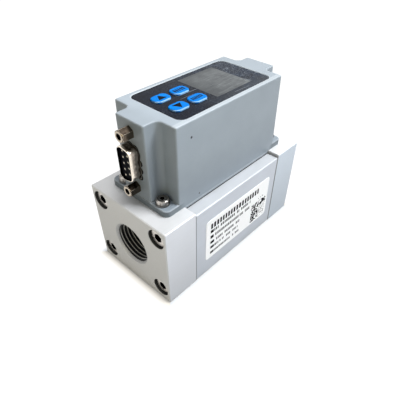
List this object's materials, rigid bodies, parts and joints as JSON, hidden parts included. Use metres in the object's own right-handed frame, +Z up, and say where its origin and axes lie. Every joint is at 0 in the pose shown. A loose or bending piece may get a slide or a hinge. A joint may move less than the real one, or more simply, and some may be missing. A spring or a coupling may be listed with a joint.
{
  "type": "thermal mass flow meter",
  "caption": "Inline gas flow meter: aluminium flow body with threaded end ports, cast grey head with display window, blue keys and a D-shaped socket.",
  "frame": {"origin": "middle of the flow body's underside", "axes": "+X along the flow from the inlet port to the outlet port, -Y the label side, +Z up to the display panel"},
  "size_m": [0.096, 0.048, 0.082],
  "materials": {
    "block_aluminium": "fine matt anodised",
    "housing_grey": "satin paint on a casting",
    "screw_steel": "stainless, machined",
    "washer_steel": "dark spring steel",
    "nickel_plate": "warm bright nickel",
    "contact_gold": "gold flash",
    "socket_black": "matt moulding",
    "panel_black": "gloss film",
    "key_blue": "gloss moulding",
    "window_clear": "clear, with fine scratches",
    "display_grey": "grey display glass",
    "frame_black": "matt moulding",
    "board_green": "solder mask",
    "switch_black": "matt moulding",
    "seal_rubber": "matt",
    "screen_steel": "etched sheet",
    "insert_aluminium": "as machined",
    "carrier_plastic": "filled moulding",
    "chip_silicon": "polished",
    "label_white": "satin film",
    "cable_grey": "satin"
  },
  "bodies": {
    "meter": {"inlet_block": "block_aluminium", "outlet_block": "block_aluminium", "body_block": "block_aluminium", "inlet_screws": "screw_steel", "outlet_screws": "screw_steel", "inlet_o_ring": "seal_rubber", "outlet_o_ring": "seal_rubber", "inlet_ring": "insert_aluminium", "outlet_ring": "insert_aluminium", "inlet_screen": "screen_steel", "outlet_screen": "screen_steel", "flow_straightener": "insert_aluminium", "sensor_carrier": "carrier_plastic", "sensor_o_ring": "seal_rubber", "sensor_chip": "chip_silicon", "sensor_board": "board_green", "sensor_screws": "screw_steel", "rating_label": "label_white", "housing": "housing_grey", "housing_screws": "screw_steel", "housing_washers": "washer_steel", "side_seals": "seal_rubber", "keypad_overlay": "panel_black", "display_window": "window_clear", "lcd_glass": "display_grey", "lcd_frame": "frame_black", "main_board": "board_green", "board_screws": "screw_steel", "key_switches": "switch_black", "connector_shell": "nickel_plate", "connector_insulator": "socket_black", "connector_contacts": "contact_gold", "connector_rear_shell": "nickel_plate", "jackscrews": "nickel_plate", "jackscrew_nuts": "nickel_plate", "connector_board": "board_green", "board_header": "socket_black", "ribbon_sockets": "socket_black", "ribbon_cable": "cable_grey"},
    "key_up_body": {"key_up": "key_blue", "key_up_plunger": "switch_black"},
    "key_down_body": {"key_down": "key_blue", "key_down_plunger": "switch_black"},
    "key_mode_body": {"key_mode": "key_blue", "key_mode_plunger": "switch_black"},
    "key_enter_body": {"key_enter": "key_blue", "key_enter_plunger": "switch_black"}
  },
  "joints": [
    {"name": "key_up_press", "type": "slide", "parent": "meter", "child": "key_up_body", "axis": [0, 0, -1], "range_m": [0, 0.0004], "stiffness_N_per_m": 800},
    {"name": "key_down_press", "type": "slide", "parent": "meter", "child": "key_down_body", "axis": [0, 0, -1], "range_m": [0, 0.0004], "stiffness_N_per_m": 800},
    {"name": "key_mode_press", "type": "slide", "parent": "meter", "child": "key_mode_body", "axis": [0, 0, -1], "range_m": [0, 0.0004], "stiffness_N_per_m": 800},
    {"name": "key_enter_press", "type": "slide", "parent": "meter", "child": "key_enter_body", "axis": [0, 0, -1], "range_m": [0, 0.0004], "stiffness_N_per_m": 800}
  ]
}
